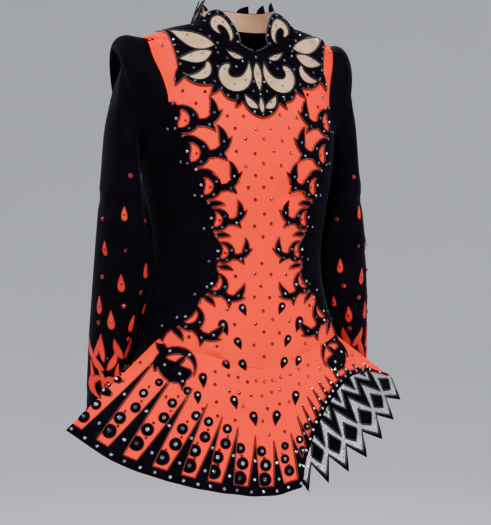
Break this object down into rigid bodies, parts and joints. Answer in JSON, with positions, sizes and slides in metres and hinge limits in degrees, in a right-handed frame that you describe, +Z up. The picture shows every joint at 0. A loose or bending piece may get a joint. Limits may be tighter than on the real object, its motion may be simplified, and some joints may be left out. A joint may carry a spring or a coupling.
{
  "type": "irish dance dress",
  "caption": "Irish dance dress in its worn shape: long sleeves, stand-up collar, scalloped yoke, leaf-edged front panel and a stiff fan skirt with a toothed silver corner.",
  "frame": {"origin": "middle of the neck opening, level with the tops of the shoulder seams, where the wearer carries the dress", "axes": "+Z up the wearer's body, -Y towards the front of the dress, +X towards the wearer's left"},
  "size_m": [0.5045, 0.3273, 0.6764],
  "materials": {
    "orange_stretch_satin": "neon orange stretch satin, matt sheen, stiffened in the skirt",
    "black_velvet": "black velvet with a short pile",
    "nude_satin": "skin-tone satin",
    "silver_glitter_cloth": "silver-grey cloth with glitter"
  },
  "bodies": {
    "root": {"front_panel": "orange_stretch_satin", "yoke_satin": "nude_satin", "yoke_velvet": "black_velvet", "side_band_left": "black_velvet", "side_band_right": "black_velvet", "side_panel_left": "black_velvet", "side_panel_right": "black_velvet", "back_panel_left": "black_velvet", "back_panel_right": "black_velvet", "collar_satin_left": "nude_satin", "collar_satin_right": "nude_satin", "collar_velvet_left": "black_velvet", "collar_velvet_right": "black_velvet", "sleeve_left": "black_velvet", "sleeve_right": "black_velvet", "skirt_front": "orange_stretch_satin", "skirt_rays": "black_velvet", "skirt_zigzag": "black_velvet", "zigzag_silver": "silver_glitter_cloth", "skirt_back_left": "black_velvet", "skirt_back_right": "black_velvet"}
  },
  "joints": []
}
